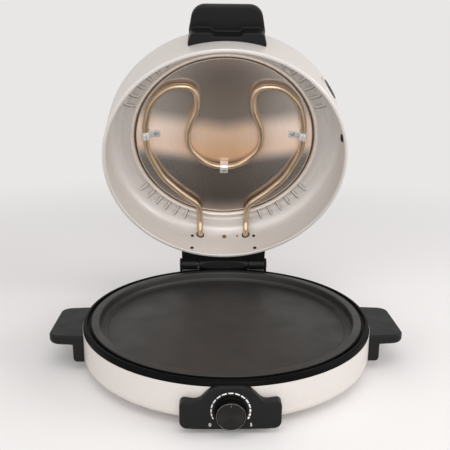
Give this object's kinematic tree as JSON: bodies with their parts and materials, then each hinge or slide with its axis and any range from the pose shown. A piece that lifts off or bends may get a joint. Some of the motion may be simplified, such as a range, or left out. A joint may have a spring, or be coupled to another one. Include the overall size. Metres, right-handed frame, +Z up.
{
  "type": "electric pizza maker",
  "caption": "Round electric pizza maker with a shallow heated base and pan, a hinged deep lid with a bent tube element, a front knob panel and grip handles.",
  "frame": {"origin": "centre of the pan's flat baking surface", "axes": "+Z up, out of the pan; -Y to the front, where the control panel is; +X to the right side handle"},
  "size_m": [0.404, 0.4057, 0.4073],
  "materials": {
    "silver_paint": "satin",
    "black_plastic": "fine matte grain",
    "knob_face": "radially brushed, black",
    "cover_paint": "matte",
    "zinc_steel": "zinc plated",
    "pin_steel": "polished",
    "shield_aluminium": "mill",
    "nonstick": "black non-stick coating",
    "reflector_steel": "brushed",
    "element_sheath": "bronze satin",
    "element_dark": "annealed",
    "clip_steel": "bright",
    "steatite": "unglazed",
    "brass_parts": "plain",
    "black_rubber": "matte"
  },
  "bodies": {
    "base": {"base_shell": "silver_paint", "bottom_cover": "cover_paint", "bottom_screws": "zinc_steel", "rim_ring": "black_plastic", "heat_shield": "shield_aluminium", "lower_element": "element_dark", "lower_clips": "clip_steel", "lower_bushes": "steatite", "lower_terminals": "brass_parts", "thermal_cutout": "zinc_steel", "terminal_block": "steatite", "terminal_screws": "brass_parts", "thermostat": "zinc_steel", "thermostat_nut": "zinc_steel", "control_panel": "black_plastic", "panel_screws": "zinc_steel", "side_handle_left": "black_plastic", "side_handle_right": "black_plastic", "side_handle_screws": "zinc_steel", "feet": "black_rubber", "foot_screws": "zinc_steel", "rear_housing": "black_plastic", "rear_housing_screws": "zinc_steel", "power_inlet": "black_plastic", "inlet_blades": "brass_parts", "hinge_pin": "pin_steel", "hinge_washers": "black_plastic", "baking_pan": "nonstick"},
    "knob": {"knob": "black_plastic", "knob_insert": "knob_face", "thermostat_shaft": "pin_steel"},
    "lid": {"lid_shell": "silver_paint", "lid_liner": "silver_paint", "lid_reflector": "reflector_steel", "reflector_studs": "zinc_steel", "upper_element": "element_sheath", "clip_left": "clip_steel", "clip_right": "clip_steel", "clip_centre": "clip_steel", "clip_screws": "zinc_steel", "element_bushes": "steatite", "lid_handle": "black_plastic", "lid_handle_screws": "zinc_steel", "hinge_housing": "black_plastic", "housing_screws": "zinc_steel", "lid_terminals": "brass_parts", "skirt_plug": "black_rubber", "vent_bezel": "silver_paint", "vent_disc": "black_plastic"}
  },
  "joints": [
    {"name": "lid_hinge", "type": "hinge", "parent": "base", "child": "lid", "pos_m": [0, 0.172, 0.017], "axis": [1, 0, 0], "range_deg": [-14, 66]},
    {"name": "knob_turn", "type": "hinge", "parent": "base", "child": "knob", "pos_m": [0, -0.172, -0.0157], "axis": [0, -1, 0], "range_deg": [-135, 135]}
  ]
}
